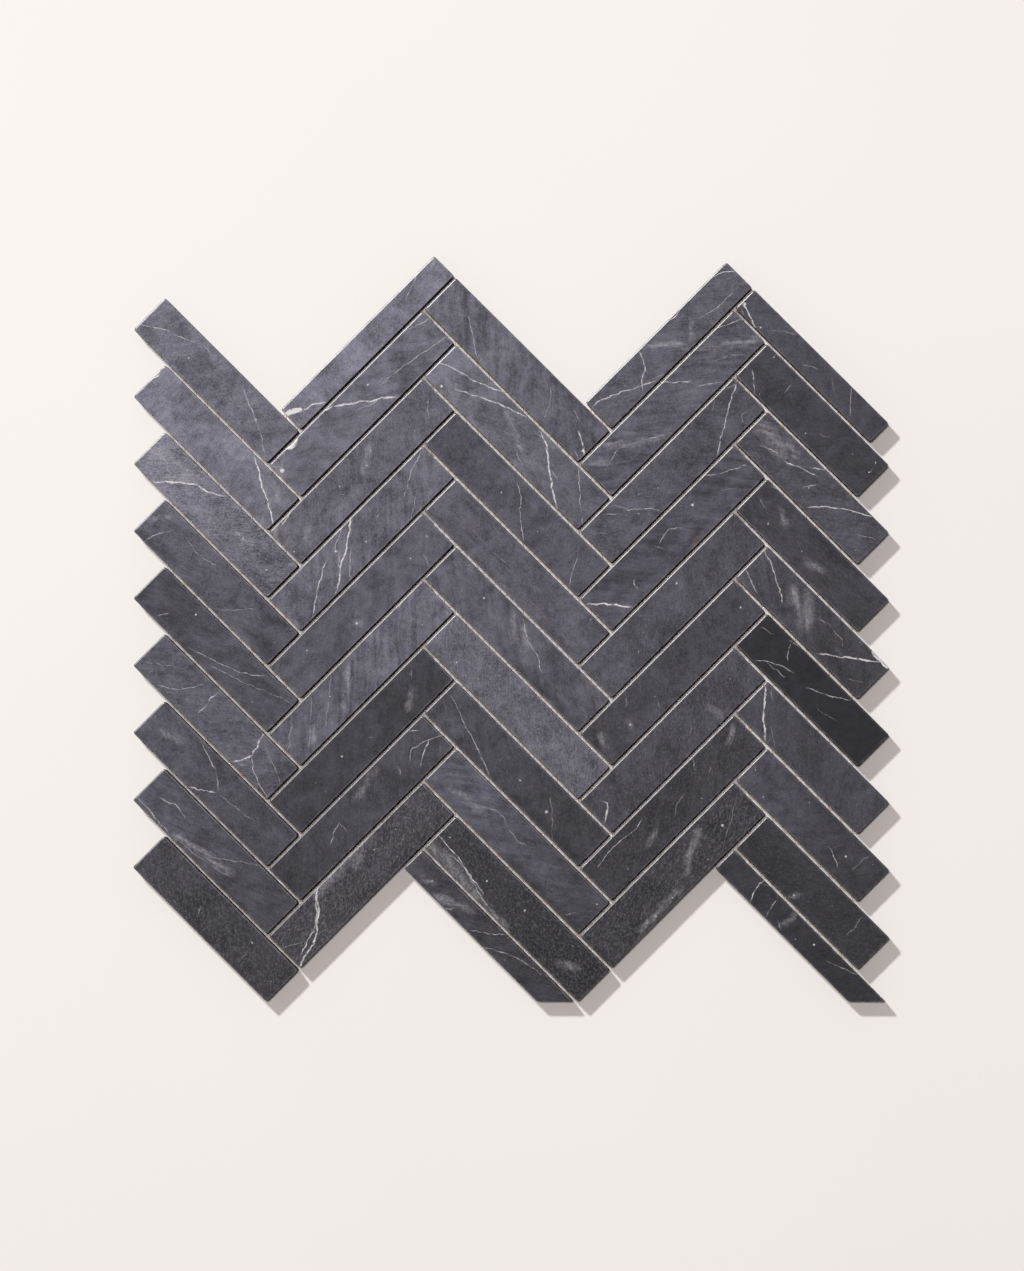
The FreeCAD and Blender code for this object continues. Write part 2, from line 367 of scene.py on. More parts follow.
        ("veil", (52, 3), (60, 9))]),
    "column_4_strip_02": ("fair", 0.0, -40, 1.0, 0.1, [
        ("veil", (1.6, 17.4), (9.6, 11.6)),
        ("fine", (10.6, 11.2), (14, 12), (17, 12.4)),
        ("veil", (14, 18), (22, 11), (30, 6), (38, 0.8)),
        ("fine", (29.4, 6.4), (36, 2.2)),
        ("vein", (51, 20), (56, 15), (60.6, 11)),
        ("fine", (60, 8), (66, 4.4), (70.4, 0.4)),
        ("veil", (73, 20), (80, 14), (86, 9), (95, 2.4)),
        ("hair", (73.6, 10.4), (81, 7), (86, 2)),
        ("fine", (84, 20), (90, 17), (96, 14.4))]),
    "column_4_strip_03": ("mid", -0.4, -45, 0.4, 0.3, [
        ("speck", (24, 7, 0.4), (30, 13, 0.4), (38, 9, 0.4), (44, 14, 0.35)),
        ("fine", (13.6, 17), (17.4, 13)),
        ("fine", (18.6, 18.6), (22, 12), (26, 8), (30, 4), (32, 0.6)),
        ("hair", (3.4, 15.4), (8.4, 10.6)),
        ("vein", (66.6, 0.8), (76, 6.6), (86, 12.5), (96, 18)),
        ("hair", (84.6, 2.6), (87, 5.5), (91, 5)),
        ("hair", (79, 16), (84, 20)),
        ("hair", (88.6, 19.4), (96, 17))]),
    "column_4_strip_04": ("mid", 0.0, -50, 0.9, 0.1, [
        ("speck", (64.5, 14, 0.8)),
        ("bold", (1, 16), (6, 11), (9, 7.5), (14, 0.8)),
        ("vein", (21.4, 4.6), (22, 8), (24, 9.2)),
        ("fine", (42, 12), (46, 13.5), (50, 13.6), (54.6, 9.6)),
        ("hair", (39.6, 13.6), (42.4, 8)),
        ("fine", (77, 20), (83, 15), (88, 12.5), (94, 9.6)),
        ("fine", (63.4, 12.6), (66.6, 14.8)),
        ("hair", (77, 10), (84, 5.6)),
        ("stain", (51, 2), (58, 1.6)),
        ("gloom", (15, 19), (24, 8)),
        ("gloom", (38, 16), (42, 8)),
        ("gloom", (48, 2), (60, 4))]),
    "column_4_strip_05": ("dim", -0.35, 45, 0.3, 0.3, [
        ("speck", (56, 15.5, 0.7), (23, 6, 0.35))]),
    "column_4_strip_06": ("deep", 0.2, 55, 0.4, 0.2, [
        ("speck", (18.5, 7, 0.7), (35, 8, 0.5), (89.5, 9, 0.6)),
        ("veil", (7, 13), (4, 7)),
        ("fine", (22.6, 13.4), (27.6, 18.6)),
        ("veil", (17.6, 5.6), (19, 8)),
        ("hair", (32.6, 3), (36, 7)),
        ("gloom", (1, 8), (6, 19))]),
    "column_4_strip_07": ("deep", 0.3, 45, 0.3, 0.4, [
        ("speck", (30, 6, 0.4), (85, 11, 0.35)),
        ("vein", (1, 5.2), (5, 8), (8.4, 10.6), (7.4, 12.8)),
        ("rust", (71.6, 19.6), (70, 11)),
        ("hair", (55, 6), (58.6, 9.6)),
        ("veil", (70, 9), (71, 2))]),
    "column_4_strip_08": ("dusk", 0.2, 35, 0.6, 0.3, [
        ("speck", (15, 5, 0.4), (60, 4, 0.4)),
        ("fine", (6, 14.6), (13, 16), (20, 16), (30, 14.8), (35, 15.8)),
        ("fine", (66.6, 14), (69.6, 19.4)),
        ("fine", (69, 8.8), (72.6, 10.8)),
        ("hair", (46, 6.4), (50, 9.5), (56, 10.8)),
        ("veil", (85, 12.6), (92, 17)),
        ("veil", (28, 6), (36, 8))]),
    "column_4_strip_09": ("inky", 0.35, 30, 0.4, 0.6, [
        ("speck", (79, 10, 0.8), (30, 2.5, 0.6), (41, 3, 0.5), (64, 4, 0.4)),
        ("veil", (52.6, 6), (58, 10), (63, 13), (71, 15.8)),
        ("veil", (20, 3), (46, 3)),
        ("hair", (76, 5), (90, 13))]),
    "column_5_strip_01": ("dim", -0.5, 40, 0.2, 0.1, [
        ("speck", (1.8, 4.4, 1), (14, 2, 0.6)),
        ("bold", (1, 4), (6, 2.8), (12.6, 0.2)),
        ("vein", (13, 1.4), (14.4, 2.6)),
        ("hair", (18, 4.6), (23, 8.4), (28, 11)),
        ("hair", (38, 3.4), (45, 7)),
        ("hair", (51, 9), (57, 5)),
        ("fine", (60.6, 12), (65, 7), (69.6, 1.6)),
        ("vein", (4, 3.6), (7, 2.4), (10, 0.6)),
        ("fine", (2, 2), (5, 0.4))]),
    "column_5_strip_02": ("dark", -0.35, 45, 0.2, 0.1, [
        ("speck", (6.5, 18, 0.5), (13.5, 2, 0.5), (40, 4, 0.4), (45, 8.5, 0.5), (61, 12, 0.4),
         (71, 16.5, 0.6), (72, 11.5, 0.5)),
        ("vein", (3.6, 7.4), (8, 4), (11.6, 0.6)),
        ("fine", (20.4, 15), (21, 9.6)),
        ("hair", (44, 7), (49, 11)),
        ("fine", (71.8, 13.6), (72.2, 11.6)),
        ("fine", (6, 17.4), (6.4, 19.4))]),
    "column_5_strip_03": ("dim", -0.2, 30, 0.6, 0.3, [
        ("speck", (37, 9, 0.5), (71, 4, 0.4)),
        ("fine", (8.4, 6.6), (13, 9), (17, 10.4)),
        ("vein", (20.4, 9.2), (27, 12), (36, 15.4)),
        ("fine", (31, 15.4), (37, 20)),
        ("vein", (42, 1.8), (48, 8), (54, 13), (62, 17.6), (67, 20)),
        ("fine", (34.6, 7), (38.4, 12.6)),
        ("hair", (65, 8.4), (75, 14)),
        ("hair", (59, 4.6), (60.6, 1)),
        ("veil", (14, 17), (24, 15)),
        ("haze", (3, 13), (19, 12))]),
    "column_5_strip_04": ("dark", -0.2, 10, 0.5, 0.2, [
        ("speck", (14.5, 6, 0.6), (33.5, 8, 0.45), (22, 14, 0.45)),
        ("hair", (2, 18.8), (11, 20)),
        ("hair", (3, 11.8), (10, 9.8)),
        ("fine", (13.4, 7), (15, 6)),
        ("veil", (14, 14), (20, 10)),
        ("veil", (38, 6), (46, 9)),
        ("seam", (60, 14), (75, 13)),
        ("gloom", (30, 17), (60, 18))]),
    "column_5_strip_05": ("deep", -0.45, -35, 0.7, 0.2, [
        ("speck", (64, 13.6, 0.6), (67, 15.5, 0.5), (59, 18.6, 0.5)),
        ("vein", (0, 17.8), (6, 16), (12, 13), (18, 10), (23, 6.4)),
        ("haze", (22, 14), (34, 10)),
        ("fine", (38.6, 13.4), (44.6, 14.6)),
        ("fine", (46.6, 14), (53, 14), (54.4, 11.6)),
        ("bold", (49, 1.8), (56, 7), (63, 12.5), (68, 16), (73, 20)),
        ("hair", (66, 3.6), (76, 8.6)),
        ("fine", (0, 6.2), (12.6, 1.6)),
        ("lens", (66, 19.8), (77, 19.8)),
        ("haze", (28, 17), (37, 6)),
        ("gloom", (46, 6), (70, 4))]),
    "column_5_strip_06": ("black", -0.35, 30, 0.3, 0.0, [
        ("fine", (15.4, 18.2), (23, 19.8)),
        ("fine", (16.8, 18.4), (18, 15.5), (21.4, 11)),
        ("fine", (10.4, 1.6), (15, 5), (20, 8), (27, 9.8)),
        ("fine", (15.4, 4.4), (25.6, 5.6)),
        ("fine", (35, 8.6), (42, 12), (48, 15), (53, 19)),
        ("hair", (2, 13.5), (9, 15.5)),
        ("hair", (45, 5.4), (56, 7.8))]),
    "column_5_strip_07": ("deep", 0.0, -55, 0.5, 0.2, [
        ("speck", (4, 15, 0.6)),
        ("bold", (1, 18), (5, 13.5), (8, 9.5), (12, 5.5), (18, 0.6)),
        ("hair", (3, 19.8), (8, 15)),
        ("hair", (14, 8), (23, 1.6))]),
    "column_5_strip_08": ("deep", -0.7, 45, 0.3, 0.1, [
        ("speck", (30, 16, 0.5), (58, 10.5, 0.6), (14, 3.5, 0.45), (3, 9.5, 0.45)),
        ("fine", (49, 8.4), (54, 7), (59, 4.6)),
        ("hair", (65, 19), (64, 8))]),
    "column_5_strip_09": ("inky", 0.0, 40, 0.3, 0.2, [
        ("speck", (33, 3.5, 0.7), (48, 12, 0.35)),
        ("hair", (60.6, 18), (62, 12), (61.4, 6.4)),
        ("veil", (32, 2), (35, 5))]),
    "column_5_strip_10": ("inky", -0.3, 60, 0.5, 0.1, [
        ("speck", (54.4, 7, 0.8), (47, 3, 0.35)),
        ("vein", (19, 11.8), (18.5, 8), (19.5, 5), (21.4, 0.8)),
        ("hair", (19.8, 9.6), (23.6, 11.8)),
        ("fine", (27.6, 11.6), (29.5, 6.6), (31.2, 0.6)),
        ("veil", (39, 11.8), (39.6, 8), (38, 3.4)),
        ("fine", (35, 3.4), (39.6, 1.8)),
        ("hair", (63, 5.6), (72, 9), (78, 11.4))]),
}

# Notches broken out of the edges: the edge, where the notch begins and ends along it, and its depth, in mm
NOTCHES = {
    "column_1_strip_02": [("near", 12.5, 16.5, 0.9)],
    "column_2_strip_02": [("upper", 11, 17, 0.5)],
    "column_4_strip_01": [("upper", 52.5, 57.5, 0.9), ("upper", 86, 89, 0.4)],
    "column_5_strip_05": [("upper", 66, 70, 0.4), ("upper", 72, 75, 0.4)],
}


def new_tree(name):
    """An empty material and its tree."""
    material = bpy.data.materials.new(name)
    material.use_nodes = True
    material.node_tree.nodes.clear()
    return material, material.node_tree


def surface(tree, height, relief, **sockets):
    """Ends a material: a relief of so many mm, and one shader with the given sockets."""
    normal = add(tree, BUMP, sockets={"Strength": 1.0, "Distance": relief * MM, "Height": height})
    shader = add(tree, SHADER, sockets={"Normal": normal, **{name.replace("_", " "): value
                                                             for name, value in sockets.items()}})
    add(tree, "ShaderNodeOutputMaterial", shader)


def strongest_vein(tree, group, wobble, best):
    """The strongest of three veins at a point: each fades from its crooked middle line to its edges."""
    at, half, show = (add(tree, READ, attribute_name=f"{part}_{group}", out="Vector")
                      for part in ("vein_at", "vein_half", "vein_show"))
    off = add(tree, VECTOR, add(tree, VECTOR, at, wobble, operation="ADD"), operation="ABSOLUTE")
    inside = add(tree, VECTOR, (1.0, 1.0, 1.0), add(tree, VECTOR, off, half, operation="DIVIDE"),
                 operation="SUBTRACT")
    inside = add(tree, VECTOR, inside, (0.0, 0.0, 0.0), operation="MAXIMUM")
    for one in add(tree, SPLIT, add(tree, VECTOR, inside, show, operation="MULTIPLY")).node.outputs:
        best = add(tree, MATH, best, one, operation="MAXIMUM")
    return best


# Marble, honed: a close dark grey ground, clouded and streaked along its bedding, with white calcite veins
# that are thin, crooked and broken, and white grains. Honing leaves a smooth face with a wide soft sheen, and
# the eased arris, rubbed finer, catches the light as a bright line.
def honed_marble():
    material, tree = new_tree("marble_honed")
    lay = add(tree, READ, attribute_name="lay", out="Vector")
    stone = add(tree, READ, attribute_name="stone", out="Vector")
    bedding = add(tree, READ, attribute_name="bedding", out="Vector")
    rim = add(tree, READ, attribute_name="rim", out="Fac")
    tone_and_painted_sheen, frost, seed = add(tree, SPLIT, stone).node.outputs
    bed_x, bed_y, bed_strength = add(tree, SPLIT, bedding).node.outputs
    shift = add(tree, VECTOR, STONE_SHIFT, sockets={"Scale": seed}, operation="SCALE")
    place = add(tree, VECTOR, lay, shift, operation="ADD")

    # ground: clouds about 15 mm across, mottles of 4 mm, streaks 2.6 mm apart and 26 mm long, flecks 0.7 mm
    # wide and 3 mm long, grain of 0.6 mm; darker along seams
    clouds = add(tree, NOISE, place, sockets={"Scale": 1 / 15, "Detail": 6.0, "Roughness": 0.6,
                                              "Distortion": 0.8})
    mottles = add(tree, NOISE, place, sockets={"Scale": 1 / 4, "Detail": 4.0, "Roughness": 0.65})
    grain = add(tree, NOISE, place, sockets={"Scale": 1 / 0.6, "Detail": 3.0, "Roughness": 0.85})
    warp = add(tree, NOISE, place, sockets={"Scale": 1 / 18, "Detail": 2.0}, out="Color")
    bent = add(tree, VECTOR, warp, (4.0, 4.0, 0.0), place, operation="MULTIPLY_ADD")
    with_bed = add(tree, JOIN, bed_x, bed_y)
    over_bed = add(tree, JOIN, add(tree, MATH, 0.0, bed_y, operation="SUBTRACT"), bed_x)
    run = add(tree, VECTOR, bent, with_bed, operation="DOT_PRODUCT", out="Value")
    rise = add(tree, VECTOR, bent, over_bed, operation="DOT_PRODUCT", out="Value")
    bed = add(tree, JOIN, run, rise, seed)
    folds = add(tree, VECTOR, bed, (1 / 26, 1 / 2.6, 1.0), operation="MULTIPLY")
    streaks = add(tree, NOISE, folds, sockets={"Scale": 1.0, "Detail": 4.0, "Roughness": 0.65})
    drawn = add(tree, VECTOR, bed, (1 / 2.8, 1 / 0.7, 1.0), operation="MULTIPLY")
    flecks = add(tree, NOISE, drawn, sockets={"Scale": 1.0, "Detail": 4.0, "Roughness": 0.65})
    fleck_contrast = add(tree, MATH, frost, 1.6, 0.2, operation="MULTIPLY_ADD")
    level = 1.0
    for pattern, contrast in ((clouds, 2.2), (mottles, 1.2), (grain, 3.0), (streaks, bed_strength),
                              (flecks, fleck_contrast)):
        swing = add(tree, MATH, pattern, 0.5, operation="SUBTRACT")
        level = add(tree, MATH, swing, contrast, level, operation="MULTIPLY_ADD")
    # the strip's level: its own tone with a painted fall-off of sheen across the sheet
    level = add(tree, MATH, add(tree, MATH, level, 0.35, operation="MAXIMUM"), tone_and_painted_sheen, operation="MULTIPLY")
    sway = add(tree, NOISE, place, sockets={"Scale": 1 / 7, "Detail": 5.0, "Roughness": 0.7})
    sway = add(tree, RANGE, sway, 0.0, 1.0, -4.0, 4.0, clamp=False)
    gloom = add(tree, RANGE, strongest_vein(tree, DARK_GROUP, sway, 0.0), 0.0, 1.0, 1.0, 0.45)
    level = add(tree, MATH, level, gloom, operation="MULTIPLY")
    ground = add(tree, VECTOR, linear(MARBLE)[:3], sockets={"Scale": level}, operation="SCALE")

    # pale crystals: frost of 1 mm, the palest flecks, and single grains under 1 mm, about 6 mm apart
    crystals = add(tree, NOISE, place, sockets={"Scale": 1 / 1.1, "Detail": 4.0, "Roughness": 0.8})
    frosting = add(tree, RANGE, crystals, 0.50, 0.72, 0.0, 0.40)
    shown = add(tree, RANGE, flecks, 0.54, 0.78, 0.0, 0.55)
    frosting = add(tree, MATH, add(tree, MATH, frosting, shown, operation="MAXIMUM"), frost,
                   operation="MULTIPLY")
    cells = add(tree, CELLS, place, sockets={"Scale": 1 / 6}).node.outputs
    kernel = add(tree, MATH, crystals, 0.10, cells["Distance"], operation="MULTIPLY_ADD")
    kernel = add(tree, RANGE, kernel, 0.10, 0.06, 0.0, 1.0)
    chosen = add(tree, RANGE, add(tree, SPLIT, cells["Color"]), 0.60, 1.0, 0.0, 0.6)
    grains = add(tree, MATH, add(tree, MATH, kernel, chosen, operation="MULTIPLY"), frosting,
                 operation="MAXIMUM")
    colour = add(tree, BLEND, sockets={0: grains, 6: ground, 7: linear(CRYSTAL)}, data_type="RGBA", out=2)

    # veils: soft pale wisps, crooked by up to 2 mm over 7 mm, torn along the bedding and by the crystals
    veils = strongest_vein(tree, SOFT_GROUP, sway, 0.0)
    torn = add(tree, MATH, add(tree, RANGE, streaks, 0.35, 0.65, 0.15, 0.75),
               add(tree, RANGE, crystals, 0.35, 0.70, 0.3, 1.3), operation="MULTIPLY")
    veils = add(tree, MATH, veils, torn, operation="MULTIPLY", use_clamp=True)
    colour = add(tree, BLEND, sockets={0: veils, 6: colour, 7: linear(CRYSTAL)}, data_type="RGBA", out=2)

    # veins: crooked by up to 0.6 mm over 4 mm, and broken up over 3 mm; specks: single white crystals
    crook = add(tree, NOISE, place, sockets={"Scale": 1 / 4, "Detail": 4.0, "Roughness": 0.6})
    wobble = add(tree, RANGE, crook, 0.0, 1.0, -1.3, 1.3, clamp=False)
    veins = 0.0
    for group in range(VEIN_GROUPS):
        veins = strongest_vein(tree, group, wobble, veins)
    breaks = add(tree, NOISE, place, sockets={"Scale": 1 / 3, "Detail": 3.0, "Roughness": 0.6})
    intact = add(tree, RANGE, breaks, 0.36, 0.58, 0.15, 1.0)
    veins = add(tree, MATH, veins, intact, operation="MULTIPLY", use_clamp=True)
    for turn in range(2):
        speck = add(tree, READ, attribute_name=f"speck_{turn}", out="Vector")
        across = add(tree, VECTOR, add(tree, VECTOR, speck, (1.0, 1.0, 0.0), operation="MULTIPLY"),
                     operation="LENGTH", out="Value")
        ragged = add(tree, MATH, add(tree, MATH, crystals, 0.42, operation="SUBTRACT"), 1.8, across,
                     operation="MULTIPLY_ADD")
        radius = add(tree, SPLIT, speck, out="Z")
        speck = add(tree, RANGE, add(tree, MATH, ragged, radius, operation="DIVIDE"), 1.0, 0.4, 0.0,
                    add(tree, MATH, radius, 0.6, 0.4, operation="MULTIPLY_ADD"))
        veins = add(tree, MATH, veins, speck, operation="MAXIMUM")
    colour = add(tree, BLEND, sockets={0: veins, 6: colour, 7: linear(CALCITE)}, data_type="RGBA", out=2)
    dashes = add(tree, RANGE, breaks, 0.44, 0.60, 0.0, 1.0)
    rust = add(tree, MATH, strongest_vein(tree, RUST_GROUP, wobble, 0.0), dashes, operation="MULTIPLY",
               use_clamp=True)
    colour = add(tree, BLEND, sockets={0: rust, 6: colour, 7: linear(IRON_STAIN)}, data_type="RGBA", out=2)

    # arris: stone bruised pale by the saw, 0.5 mm wide, in patches about 2 mm long
    bruise = add(tree, NOISE, place, sockets={"Scale": 1 / 2, "Detail": 3.0})
    bruise = add(tree, RANGE, bruise, 0.40, 0.70, 0.0, 0.5)
    edge = add(tree, RANGE, rim, 0.5, 0.1, 0.0, 1.0)
    worn = add(tree, MATH, edge, bruise, operation="MULTIPLY")
    colour = add(tree, BLEND, sockets={0: worn, 6: colour, 7: linear(BRUISE)}, data_type="RGBA", out=2)

    rolled = add(tree, RANGE, rim, 0.8, 0.5, 0.0, 1.0)
    rough = add(tree, RANGE, grain, 0.3, 0.7, 0.60, 0.72)
    rough = add(tree, BLEND, sockets={0: rolled, 2: rough, 3: 0.30}, data_type="FLOAT")
    gleam = add(tree, RANGE, rolled, 0.0, 1.0, 0.25, 1.0)
    surface(tree, grain, 0.008, Base_Color=colour, Roughness=rough, Specular_IOR_Level=gleam)
    return material


# Marble, sawn: the sides and back, left from the saw, so dull, with fine saw lines, and dark brownish: partly
# the stone's own colour and partly painted shade, as these faces mostly lie in shade.
def sawn_marble():
    material, tree = new_tree("marble_sawn_and_shade")
    lay = add(tree, READ, attribute_name="lay", out="Vector")
    stone = add(tree, SPLIT, add(tree, READ, attribute_name="stone", out="Vector")).node.outputs
    tone_and_painted_sheen, seed = stone["X"], stone["Z"]
    shift = add(tree, VECTOR, STONE_SHIFT, sockets={"Scale": seed}, operation="SCALE")
    place = add(tree, VECTOR, lay, shift, operation="ADD")
    clouds = add(tree, NOISE, place, sockets={"Scale": 1 / 12, "Detail": 5.0, "Distortion": 0.6})
    stretched = add(tree, VECTOR, place, (1 / 22, 1 / 1.2, 1 / 0.7), operation="MULTIPLY")
    saw_lines = add(tree, NOISE, stretched, sockets={"Scale": 1.0, "Detail": 3.0})
    level = 1.0
    for pattern, contrast in ((clouds, 0.9), (saw_lines, 0.7)):
        swing = add(tree, MATH, pattern, 0.5, operation="SUBTRACT")
        level = add(tree, MATH, swing, contrast, level, operation="MULTIPLY_ADD")
    # the strip's level, with its painted fall-off of sheen, carried onto the sides as well
    level = add(tree, MATH, level, tone_and_painted_sheen, operation="MULTIPLY")
    # dark brown: the stone's own colour and painted shade on the sides
    colour = add(tree, VECTOR, linear(MARBLE_SAWN_AND_SHADE)[:3], sockets={"Scale": level}, operation="SCALE")
    rough = add(tree, RANGE, saw_lines, 0.3, 0.7, 0.68, 0.82)
    surface(tree, saw_lines, 0.05, Base_Color=colour, Roughness=rough)
    return material


# Glass fibre, laid and dipped in resin: off-white threads, faintly shiny, lined along by their filaments.
def resin_glass_fibre(along_x):
    material, tree = new_tree("glass_fibre_weft" if along_x else "glass_fibre_warp")
    place = add(tree, "ShaderNodeTexCoord", out="Object")
    long_way, short_way = 1 / (6 * MM), 1 / (0.15 * MM)
    scales = (long_way, short_way, short_way) if along_x else (short_way, long_way, short_way)
    stretched = add(tree, VECTOR, place, scales, operation="MULTIPLY")
    filaments = add(tree, NOISE, stretched, sockets={"Scale": 1.0, "Detail": 2.0})
    resin = add(tree, NOISE, place, sockets={"Scale": 1 / (3 * MM), "Detail": 3.0})
    colour = add(tree, BLEND, sockets={0: filaments, 6: linear(FIBRE), 7: linear(FIBRE_PALE)},
                 data_type="RGBA", out=2)
    rough = add(tree, RANGE, resin, 0.3, 0.7, 0.35, 0.6)
    surface(tree, filaments, 0.04, Base_Color=colour, Roughness=rough)
    return material


# Painted board under the sheet: warm off-white, matt, with a faint roller stipple.
def painted_board():
    material, tree = new_tree("board_painted_matt")
    place = add(tree, "ShaderNodeTexCoord", out="Object")
    stipple = add(tree, NOISE, place, sockets={"Scale": 1 / (2 * MM), "Detail": 3.0})
    broad = add(tree, NOISE, place, sockets={"Scale": 1 / (200 * MM), "Detail": 2.0})
    colour = add(tree, BLEND, sockets={0: broad, 6: linear(BOARD), 7: linear(BOARD_PALE)},
                 data_type="RGBA", out=2)
    rough = add(tree, RANGE, stipple, 0.3, 0.7, 0.78, 0.86)
    surface(tree, stipple, 0.01, Base_Color=colour, Roughness=rough)
    return material


def make_mesh(tree, name, inputs, start=None):
    """Runs a Geometry Nodes tree with the given inputs and keeps its result as a plain mesh."""
    piece = bpy.data.objects.new(name, start or bpy.data.meshes.new(name))
    bpy.context.scene.collection.objects.link(piece)
    modifier = piece.modifiers.new("make", "NODES")
    modifier.node_group = tree
    for item in tree.interface.items_tree:
        if item.in_out == "INPUT" and item.name in inputs:
            modifier[item.identifier] = inputs[item.name]
    evaluated = piece.evaluated_get(bpy.context.evaluated_depsgraph_get())
    mesh = bpy.data.meshes.new_from_object(evaluated)
    piece.modifiers.remove(modifier)
    piece.data = mesh
    mesh.name = name
    return piece


def strip_tree():
    """A strip sawn from a slab, in mm and then set in its place: a box with eased, chipped arrises, slightly
    wandering sides and, on some, a mitred far end."""
    tree = bpy.data.node_groups.new("sawn_strip", "GeometryNodeTree")
    tree.interface.new_socket("Strip", in_out="OUTPUT", socket_type="NodeSocketGeometry")
    for name in ("Length", "Width", "Thickness", "Mitre", "Seed"):
        tree.interface.new_socket(name, in_out="INPUT", socket_type="NodeSocketFloat")
    for name in ("Turn", "Place"):
        tree.interface.new_socket(name, in_out="INPUT", socket_type="NodeSocketVector")
    for name in ("Honed", "Sawn"):
        tree.interface.new_socket(name, in_out="INPUT", socket_type="NodeSocketMaterial")
    given = add(tree, "NodeGroupInput").node.outputs
    where = add(tree, "GeometryNodeInputPosition")
    size = add(tree, JOIN, given["Length"], given["Width"], given["Thickness"])
    half = add(tree, VECTOR, size, sockets={"Scale": 0.5}, operation="SCALE")

    # box with its mesh rings drawn together towards the edges
    counts = [add(tree, MATH, given[side], CELL, operation="DIVIDE") for side in ("Length", "Width")]
    shape = add(tree, "GeometryNodeMeshCube", size, *counts, RINGS_DEEP)
    draw = (RING_DRAW,) * 3
    reach = add(tree, VECTOR, half, add(tree, VECTOR, where, operation="ABSOLUTE"), operation="SUBTRACT")
    squared = add(tree, VECTOR, reach, reach, operation="MULTIPLY")
    close = add(tree, VECTOR, squared, add(tree, VECTOR, reach, draw, operation="ADD"), operation="DIVIDE")
    stretch = add(tree, VECTOR, add(tree, VECTOR, half, draw, operation="ADD"), half, operation="DIVIDE")
    close = add(tree, VECTOR, close, stretch, operation="MULTIPLY")
    sides = add(tree, VECTOR, where, operation="SIGN")
    drawn = add(tree, VECTOR, sides, add(tree, VECTOR, half, close, operation="SUBTRACT"),
                operation="MULTIPLY")
    shape = add(tree, "GeometryNodeSetPosition", shape, None, drawn)
    reach_x, reach_y, reach_z = add(tree, SPLIT, reach).node.outputs
    rim = add(tree, MATH, reach_x, reach_y, operation="MINIMUM")
    shape = add(tree, "GeometryNodeStoreNamedAttribute", shape, None, "rim", rim, data_type="FLOAT",
                domain="POINT")

    # arris: an ellipse wider than deep, with chips, sharper at the back
    rubbing = add(tree, NOISE, where, given["Seed"], sockets={"Scale": 1 / 5, "Detail": 3.0},
                  noise_dimensions="4D")
    rubbed = add(tree, RANGE, rubbing, 0.25, 0.75, 0.55, 1.45)
    spots = add(tree, CELLS, where, given["Seed"], sockets={"Scale": 1 / CHIP_SPACING},
                voronoi_dimensions="4D", out="Distance")
    chips = add(tree, RANGE, spots, CHIP_REACH / CHIP_SPACING, 0.0, 0.0, CHIP_DEPTH)
    height = add(tree, SPLIT, where, out="Z")
    half_height = add(tree, SPLIT, half, out="Z")
    low = add(tree, MATH, 0.0, half_height, operation="SUBTRACT")
    face_share = add(tree, RANGE, height, low, half_height, BACK_ARRIS, 1.0)
    radius = add(tree, MATH, rubbed, ARRIS_WIDTH, chips, operation="MULTIPLY_ADD")
    radius = add(tree, MATH, radius, face_share, operation="MULTIPLY")
    radius = add(tree, MATH, radius, CORNER, operation="MINIMUM")
    flatness = ARRIS_WIDTH / ARRIS_DEPTH
    depth = add(tree, MATH, reach_z, flatness, operation="MULTIPLY")
    towards = add(tree, JOIN, add(tree, MATH, radius, rim, operation="SUBTRACT"),
                  add(tree, MATH, radius, depth, operation="SUBTRACT"))
    towards = add(tree, VECTOR, add(tree, VECTOR, towards, (0.0, 0.0, 0.0), operation="MAXIMUM"),
                  operation="NORMALIZE")
    bend = add(tree, VECTOR, towards, sockets={"Scale": radius}, operation="SCALE")
    bend = add(tree, VECTOR, add(tree, JOIN, radius, radius), bend, operation="SUBTRACT")
    bend_in, bend_down = add(tree, SPLIT, bend).node.outputs[:2]
    inset = add(tree, MATH, rim, bend_in, operation="MAXIMUM")
    sunk = add(tree, MATH, add(tree, MATH, depth, bend_down, operation="MAXIMUM"), flatness,
               operation="DIVIDE")

    # the face's edge, rolled over a little by the honing pad
    width = add(tree, RANGE, rubbing, 0.25, 0.75, 0.75 * ROLL_WIDTH, 1.25 * ROLL_WIDTH)
    roll = add(tree, MATH, width, inset, operation="SUBTRACT")
    roll = add(tree, MATH, add(tree, MATH, roll, 0.0, operation="MAXIMUM"), ROLL_SLOPE, operation="MULTIPLY")
    roll = add(tree, MATH, roll, add(tree, RANGE, height, 0.0, half_height, 0.0, 1.0), operation="MULTIPLY")
    sunk = add(tree, MATH, sunk, roll, operation="ADD")

